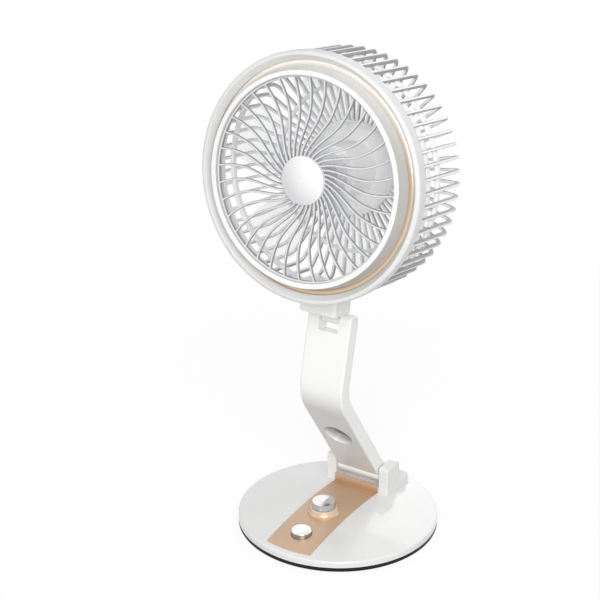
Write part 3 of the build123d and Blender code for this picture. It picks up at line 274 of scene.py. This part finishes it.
# Chrome: painted reflection, darker on faces turned sideways and down than on the top
chrome = finish_and_painted_light_material("chrome", (0.92, 0.92, 0.93), 0.2, drift=0.01, metallic=1.0, grain=300.0,
                         relief=0.01, spread=0.03, painted_lights=[(facing, UP, 0.05, 0.7, (0.45, 0.45, 0.46))])
black = finish_and_painted_light_material("black_plastic", (0.010, 0.009, 0.010), 0.5, drift=0.15, relief=0.12, specular=0.2)
rubber = finish_and_painted_light_material("rubber", (0.02, 0.02, 0.02), 0.75, drift=0.2, relief=0.3)
steel = finish_and_painted_light_material("steel", (0.56, 0.56, 0.58), 0.3, drift=0.05, metallic=1.0, relief=0.05)
washer = finish_and_painted_light_material("washer", (0.62, 0.62, 0.6), 0.5, relief=0.1)
board = finish_and_painted_light_material("board", (0.02, 0.13, 0.05), 0.4, drift=0.2, relief=0.1)
cell = finish_and_painted_light_material("cell_foil", (0.5, 0.51, 0.53), 0.35, metallic=0.9, relief=0.2)
copper = finish_and_painted_light_material("copper", (0.6, 0.26, 0.13), 0.35, metallic=0.9, relief=0.3, grain=500.0)

NODE_FINISH = {
    "bottom_cover": black, "foot_ring": rubber, "base_shell": base_white, "control_panel": champagne,
    "knob_collar": champagne, "hinge_bracket": bracket_white, "base_hinge_pin": steel,
    "base_hinge_washers": washer, "main_board": board, "speed_control": steel, "button_switch": black,
    "battery_cells": cell, "charging_socket": steel, "base_screws": steel, "bracket_screws": steel,
    "speed_knob": chrome, "knob_shaft": steel, "light_button": chrome, "arm_shell": arm_white,
    "arm_rear_cover": white_gloss, "arm_screws": steel, "head_hinge_pin": steel,
    "head_hinge_washers": washer, "neck_bracket": white_satin, "neck_screws": steel,
    "front_bezel": bezel_white, "gold_ring": champagne_ring, "light_ring": diffuser, "led_board": board,
    "front_grille": grille_white, "grille_cap": cap_white, "rear_grille": basket_white, "head_screws": steel,
    "motor_housing": motor_white, "motor_end_bell": motor_white, "motor_bearings": steel,
    "motor_stator": copper, "motor_screws": steel, "impeller": blade_white, "motor_shaft": steel,
    "motor_rotor": steel, "impeller_nut": white_satin}
for node_name, finish in NODE_FINISH.items():
    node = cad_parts[node_name]
    node.data.materials.clear()
    node.data.materials.append(finish)


# Pieces with moulded edges that stand for plain CAD solids, in millimetres in the head's frame
SHARP_ANGLE = math.radians(40.0)


def mesh_piece(name, bm, finish, body, matrix):
    """Object from a bmesh in millimetres, smooth except at its sharp edges, riding on a body."""
    bmesh.ops.recalc_face_normals(bm, faces=bm.faces)
    bmesh.ops.transform(bm, matrix=matrix @ Matrix.Scale(MM, 4), verts=bm.verts)
    mesh = bpy.data.meshes.new(name)
    bm.to_mesh(mesh)
    bm.free()
    mesh.polygons.foreach_set("use_smooth", [True] * len(mesh.polygons))
    mesh.set_sharp_from_angle(angle=SHARP_ANGLE)
    mesh.materials.append(finish)
    obj = bpy.data.objects.new(name, mesh)
    scene.collection.objects.link(obj)
    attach(obj, body)
    return obj


def loop_faces(bm, rings, closed):
    """Skin over rings of vertices, with end faces unless the last ring meets the first."""
    count = len(rings[0])
    spans = len(rings) if closed else len(rings) - 1
    for i in range(spans):
        a = rings[i]
        b = rings[(i + 1) % len(rings)]
        for k in range(count):
            bm.faces.new((a[k], a[(k + 1) % count], b[(k + 1) % count], b[k]))
    if not closed:
        bm.faces.new(rings[0])
        bm.faces.new(list(reversed(rings[-1])))


def sweep(bm, stations, section):
    """Bar along stations of (point, side axis, outward axis) with a closed section."""
    rings = [[bm.verts.new(point + side * sx + out * sy) for sx, sy in section]
             for point, side, out in stations]
    loop_faces(bm, rings, False)


def turn(bm, profile, segments=160):
    """Ring about the Z axis from a closed profile of (radius, depth)."""
    rings = []
    for step in range(segments):
        angle = math.tau * step / segments
        rings.append([bm.verts.new((r * math.cos(angle), r * math.sin(angle), d)) for r, d in profile])
    loop_faces(bm, rings, True)


def cap_disc(bm, profile, segments=96):
    """Turned disc whose profile starts and ends on the axis."""
    first = bm.verts.new((0, 0, profile[0][1]))
    last = bm.verts.new((0, 0, profile[-1][1]))
    inner = profile[1:-1]
    rings = []
    for step in range(segments):
        angle = math.tau * step / segments
        rings.append([bm.verts.new((r * math.cos(angle), r * math.sin(angle), d)) for r, d in inner])
    for i in range(segments):
        a = rings[i]
        b = rings[(i + 1) % segments]
        bm.faces.new((first, a[0], b[0]))
        for k in range(len(inner) - 1):
            bm.faces.new((a[k], a[k + 1], b[k + 1], b[k]))
        bm.faces.new((a[-1], last, b[-1]))


def rounded(points, radii, steps=4):
    """Closed outline with its corners rounded, each by its own radius."""
    out = []
    count = len(points)
    for i in range(count):
        here = Vector(points[i]).to_2d()
        before = Vector(points[i - 1]).to_2d()
        after = Vector(points[(i + 1) % count]).to_2d()
        radius = radii[i]
        if radius <= 0:
            out.append(tuple(here))
            continue
        u = (before - here).normalized()
        w = (after - here).normalized()
        half = u.angle(w) / 2
        reach = radius / math.tan(half)
        centre = here + (u + w).normalized() * radius / math.sin(half)
        start = here + u * reach - centre
        sweep_angle = (here + w * reach - centre).angle_signed(start)
        for k in range(steps + 1):
            out.append(tuple(centre + Matrix.Rotation(sweep_angle * k / steps, 2) @ start))
    return out


def polar(radius, angle, depth=0.0):
    """Point at a radius, an angle and a depth."""
    return Vector((radius * math.cos(angle), radius * math.sin(angle), depth))


# Radii of moulded edges
SHARP_EDGE = 0.0
FINE_EDGE = 0.2
EASED_EDGE = 0.4
SOFT_EDGE = 0.6

# Front grille: S-shaped ribs with round fronts, the rim and the boss behind the cap
GRILLE_R = 64.95
GRILLE_RING = 1.2
GRILLE_FRONT = 3.8
GRILLE_BACK = 1.4
RIB_W = 1.4
RIB_COUNT = 36
RIB_TURN = math.radians(24.0)
RIB_HOOK = math.radians(2.5)
RIB_MID_R = 46.3
HUB_R = 15.6
FLANGE_R = 67.0
FLANGE_FRONT = 3.0
RIB_STEPS = 22
RIB_ROOT = 1.0           # ribs run this far into the hub or the plate
RIB_EASE = 0.3           # eased back corners of a front rib
RIB_FRONT_STEPS = 6


def rib_angle(radius):
    """Sweep of a front rib at a radius."""
    if radius < RIB_MID_R:
        return RIB_TURN * ((RIB_MID_R - radius) / (RIB_MID_R - HUB_R)) ** 2
    return RIB_HOOK * ((radius - RIB_MID_R) / (GRILLE_R - RIB_MID_R)) ** 2


def rib_section(width, low, high):
    """Rib section with a round front and eased back corners."""
    half = width / 2
    front = []
    for step in range(RIB_FRONT_STEPS + 1):
        angle = math.pi * step / RIB_FRONT_STEPS
        front.append((half * math.cos(angle), high - half + half * math.sin(angle)))
    return front + [(-half, low + RIB_EASE), (-half + RIB_EASE, low), (half - RIB_EASE, low),
                    (half, low + RIB_EASE)]


grille = bmesh.new()
rib_first = HUB_R - RIB_ROOT
rib_last = GRILLE_R - GRILLE_RING / 2
front_section = rib_section(RIB_W, GRILLE_BACK, GRILLE_FRONT)
for number in range(RIB_COUNT):
    turn_by = math.tau * number / RIB_COUNT
    line = []
    for step in range(RIB_STEPS + 1):
        radius = rib_first + (rib_last - rib_first) * step / RIB_STEPS
        line.append(polar(radius, rib_angle(radius) + turn_by))
    stations = []
    for step, point in enumerate(line):
        along = (line[min(step + 1, RIB_STEPS)] - line[max(step - 1, 0)]).normalized()
        stations.append((point, Vector((-along.y, along.x, 0)), Vector((0, 0, 1))))
    sweep(grille, stations, front_section)
rim_in = GRILLE_R - GRILLE_RING
turn(grille, rounded([(rim_in, GRILLE_BACK), (FLANGE_R, GRILLE_BACK), (FLANGE_R, FLANGE_FRONT),
                      (GRILLE_R, FLANGE_FRONT), (GRILLE_R, GRILLE_FRONT), (rim_in, GRILLE_FRONT)],
                     [EASED_EDGE, FINE_EDGE, FINE_EDGE, SHARP_EDGE, FINE_EDGE, SOFT_EDGE]))
hub_face_r = HUB_R - EASED_EDGE
cap_disc(grille, [(0, GRILLE_BACK), (hub_face_r, GRILLE_BACK), (HUB_R, GRILLE_BACK + EASED_EDGE),
                  (HUB_R, GRILLE_FRONT - EASED_EDGE), (hub_face_r, GRILLE_FRONT), (0, GRILLE_FRONT)])
front_grille_piece = mesh_piece("front_grille_moulding", grille, grille_white, "head", HEAD)
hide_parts("front_grille")

# Basket: ribs with eased edges that turn in to the motor plate, with its hoops, plate and neck pad
CAGE_R = 79.0
CAGE_BACK = -58.0
CAGE_FRONT = -7.25
CAGE_T = 2.8
CAGE_W = 1.8
CAGE_COUNT = 58
CAGE_CORNER = 6.0
PLATE_R = 31.0
PLATE_T = 2.5
PLATE_RIM = 6.0
PLATE_EDGE = 0.8
PLATE_LIP_W = 2.0
PLATE_LIP_EDGE = 0.5
PLATE_REACH = 0.5        # faces this far past the plate's edge still take its finish
CAGE_INNER_EDGE = 0.35
CAGE_EDGE_STEPS = 3
RING_OUT = 77.55
RING_IN = 74.95
RING_FRONT = -6.1
RING_BACK = -9.0
RING_EDGE = 0.5
HOOPS = (-17.0, -30.0)
HOOP_HALF = 2.2
HOOP_IN = 74.6
HOOP_OUT = 76.8
BACK_HOOP_IN = 53.8
BACK_HOOP_OUT = 56.2
BACK_HOOP_BACK = -55.8
BACK_HOOP_FRONT = -53.6
PAD_HALF = math.radians(11.5)
PAD_IN = 75.4
PAD_FRONT = -24.6
PAD_BACK = -48.8
PAD_EDGE = 0.8
PAD_STEPS = 10
CORNER_STEPS = 8

cage = bmesh.new()
half_t = CAGE_T / 2
half_w = CAGE_W / 2
cage_section = rounded([(-half_w, -half_t), (half_w, -half_t), (half_w, half_t), (-half_w, half_t)],
                       [CAGE_INNER_EDGE, CAGE_INNER_EDGE, SOFT_EDGE, SOFT_EDGE], CAGE_EDGE_STEPS)
mid_r = CAGE_R - half_t
mid_back = CAGE_BACK + half_t
bend = CAGE_CORNER - half_t
for number in range(CAGE_COUNT):
    angle = math.pi / 2 + math.tau * number / CAGE_COUNT
    radial = polar(1.0, angle)
    across = polar(1.0, angle + math.pi / 2)
    axial = Vector((0, 0, 1))
    stations = [(radial * mid_r + axial * CAGE_FRONT, across, radial)]
    for step in range(CORNER_STEPS + 1):
        swing = math.pi / 2 * step / CORNER_STEPS
        out = radial * math.cos(swing) - axial * math.sin(swing)
        stations.append((radial * (mid_r - bend) + axial * (mid_back + bend) + out * bend, across, out))
    stations.append((radial * (PLATE_R - RIB_ROOT) + axial * mid_back, across, -axial))
    sweep(cage, stations, cage_section)
turn(cage, rounded([(RING_IN, RING_BACK), (RING_OUT, RING_BACK), (RING_OUT, RING_FRONT),
                    (RING_IN, RING_FRONT)], [RING_EDGE, RING_EDGE, FINE_EDGE, FINE_EDGE]))
for hoop in HOOPS:
    turn(cage, rounded([(HOOP_IN, hoop - HOOP_HALF), (HOOP_OUT, hoop - HOOP_HALF),
                        (HOOP_OUT, hoop + HOOP_HALF), (HOOP_IN, hoop + HOOP_HALF)],
                       [SOFT_EDGE, EASED_EDGE, EASED_EDGE, SOFT_EDGE]))
turn(cage, rounded([(BACK_HOOP_IN, BACK_HOOP_BACK), (BACK_HOOP_OUT, BACK_HOOP_BACK),
                    (BACK_HOOP_OUT, BACK_HOOP_FRONT), (BACK_HOOP_IN, BACK_HOOP_FRONT)],
                   [EASED_EDGE, EASED_EDGE, SOFT_EDGE, SOFT_EDGE]))
lip_front = CAGE_BACK + PLATE_RIM
lip_in = PLATE_R - PLATE_LIP_W
cap_disc(cage, [(0, CAGE_BACK), (PLATE_R - PLATE_EDGE, CAGE_BACK), (PLATE_R, CAGE_BACK + PLATE_EDGE),
                (PLATE_R, lip_front - PLATE_LIP_EDGE), (PLATE_R - PLATE_LIP_EDGE, lip_front),
                (lip_in + PLATE_LIP_EDGE, lip_front), (lip_in, lip_front - PLATE_LIP_EDGE),
                (lip_in, CAGE_BACK + PLATE_T), (0, CAGE_BACK + PLATE_T)])
pad_outline = rounded([(PAD_IN, PAD_BACK), (CAGE_R, PAD_BACK), (CAGE_R, PAD_FRONT), (PAD_IN, PAD_FRONT)],
                      [EASED_EDGE, PAD_EDGE, PAD_EDGE, EASED_EDGE])
pad_rings = []
for step in range(PAD_STEPS + 1):
    angle = -math.pi / 2 - PAD_HALF + 2 * PAD_HALF * step / PAD_STEPS
    pad_rings.append([cage.verts.new(polar(r, angle, d)) for r, d in pad_outline])
loop_faces(cage, pad_rings, False)
rear_grille_piece = mesh_piece("rear_grille_moulding", cage, basket_white, "head", HEAD)
rear_grille_piece.data.materials.append(motor_white)
plate_centre = HEAD @ (Vector((0, 0, CAGE_BACK)) * MM)
plate_reach = (PLATE_R + PLATE_REACH) * MM
for face in rear_grille_piece.data.polygons:
    on_plate = (face.center - plate_centre).length < plate_reach
    if on_plate and len(face.vertices) != len(cage_section):
        face.material_index = 1
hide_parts("rear_grille")


# Floor, light and camera


def seen_ray(tree):
    """One where the camera, a mirror or glass looks, and nought for light that bounces."""
    path = tree.nodes.new("ShaderNodeLightPath")
    sharp = tree.nodes.new("ShaderNodeMath")
    sharp.operation = "MAXIMUM"
    either = tree.nodes.new("ShaderNodeMath")
    either.operation = "MAXIMUM"
    link(tree, path, "Is Camera Ray", sharp, 0)
    link(tree, path, "Is Glossy Ray", sharp, 1)
    link(tree, sharp, "Value", either, 0)
    link(tree, path, "Is Transmission Ray", either, 1)
    return either


AMBIENT = 0.47
world = bpy.data.worlds.new("studio")
scene.world = world
world.use_nodes = True
sky = world.node_tree
dim = sky.nodes["Background"]
dim.inputs["Color"].default_value = (1, 1, 1, 1)
dim.inputs["Strength"].default_value = AMBIENT
bright = sky.nodes.new("ShaderNodeBackground")
bright.inputs["Color"].default_value = (1, 1, 1, 1)
bright.inputs["Strength"].default_value = 1.0
sky_mix = sky.nodes.new("ShaderNodeMixShader")
link(sky, seen_ray(sky), "Value", sky_mix, 0)
link(sky, dim, "Background", sky_mix, 1)
link(sky, bright, "Background", sky_mix, 2)
link(sky, sky_mix, "Shader", sky.nodes["World Output"], "Surface")

# White floor that fades into the backdrop away from the fan and keeps a faint shadow near it
FLOOR = 3.0
FADE_FROM = 0.12
FADE_TO = 0.6
NEAR_WHITE = 0.9
FLOOR_BOUNCE = 0.5
FLOOR_ROUGH = 0.9
floor_mesh = bpy.data.meshes.new("floor")
floor_mesh.from_pydata([(-FLOOR, -FLOOR, 0), (FLOOR, -FLOOR, 0), (FLOOR, FLOOR, 0), (-FLOOR, FLOOR, 0)], [],
                       [(0, 1, 2, 3)])
floor = bpy.data.objects.new("floor", floor_mesh)
scene.collection.objects.link(floor)
floor_mat, floor_tree, floor_shader = new_material("floor_white")
floor_shader.inputs["Roughness"].default_value = FLOOR_ROUGH
floor_shader.inputs["Specular IOR Level"].default_value = 0.0
floor_seen = seen_ray(floor_tree)
floor_tone = floor_tree.nodes.new("ShaderNodeMapRange")
floor_tone.inputs["To Min"].default_value = FLOOR_BOUNCE
floor_tone.inputs["To Max"].default_value = 1.0
link(floor_tree, floor_seen, "Value", floor_tone, "Value")
link(floor_tree, floor_tone, "Result", floor_shader, "Base Color")
floor_place = floor_tree.nodes.new("ShaderNodeTexCoord")
floor_reach = floor_tree.nodes.new("ShaderNodeVectorMath")
floor_reach.operation = "LENGTH"
link(floor_tree, floor_place, "Object", floor_reach, 0)
floor_fade = floor_tree.nodes.new("ShaderNodeMapRange")
floor_fade.interpolation_type = "SMOOTHSTEP"
floor_fade.inputs["From Min"].default_value = FADE_FROM
floor_fade.inputs["From Max"].default_value = FADE_TO
floor_fade.inputs["To Min"].default_value = NEAR_WHITE
floor_fade.inputs["To Max"].default_value = 1.0
link(floor_tree, floor_reach, "Value", floor_fade, "Value")
floor_fac = floor_tree.nodes.new("ShaderNodeMath")
floor_fac.operation = "MULTIPLY"
link(floor_tree, floor_seen, "Value", floor_fac, 0)
link(floor_tree, floor_fade, "Result", floor_fac, 1)
floor_glow = floor_tree.nodes.new("ShaderNodeEmission")
floor_glow.inputs["Strength"].default_value = 1.0
floor_mix = floor_tree.nodes.new("ShaderNodeMixShader")
link(floor_tree, floor_fac, "Value", floor_mix, 0)
link(floor_tree, floor_shader, "BSDF", floor_mix, 1)
link(floor_tree, floor_glow, "Emission", floor_mix, 2)
link(floor_tree, floor_mix, "Shader", floor_tree.nodes["Material Output"], "Surface")
floor_mesh.materials.append(floor_mat)


def area_light(name, place, aim, size, power):
    """Soft box aimed at a point."""
    lamp = bpy.data.lights.new(name, "AREA")
    lamp.shape = "RECTANGLE"
    lamp.size = size[0]
    lamp.size_y = size[1]
    lamp.energy = power
    obj = bpy.data.objects.new(name, lamp)
    obj.location = place
    obj.rotation_euler = (Vector(aim) - Vector(place)).to_track_quat("-Z", "Y").to_euler()
    scene.collection.objects.link(obj)


# Place and size of each lamp in metres, and its power in watts
AIM = (0, 0, 0.17)
LAMPS = {"key": ((0.86, -1.27, 0.95), (1.0, 1.0), 24),
         "left": ((-1.3, -0.7, 0.8), (0.8, 1.0), 2),
         "back": ((0.1, 1.5, 0.8), (1.9, 1.3), 7)}
for lamp_name, (lamp_place, lamp_size, lamp_power) in LAMPS.items():
    area_light(lamp_name, lamp_place, AIM, lamp_size, lamp_power)

CAM_AZ = math.radians(32.96)
CAM_EL = math.radians(24.15)
CAM_DIST = 1205.16 * MM
CAM_AIM = Vector((-31.35, 0.0, 159.83)) * MM
CAM_SENSOR = 36.0
CAM_LENS = 108.0
CAM_NEAR = 0.05
cam_back = Vector((math.sin(CAM_AZ) * math.cos(CAM_EL), -math.cos(CAM_AZ) * math.cos(CAM_EL),
                   math.sin(CAM_EL)))
cam_data = bpy.data.cameras.new("camera")
cam_data.sensor_width = CAM_SENSOR
cam_data.lens = CAM_LENS
cam_data.clip_start = CAM_NEAR
camera = bpy.data.objects.new("camera", cam_data)
camera.location = CAM_AIM + cam_back * CAM_DIST
camera.rotation_euler = cam_back.to_track_quat("Z", "Y").to_euler()
scene.collection.objects.link(camera)
scene.camera = camera
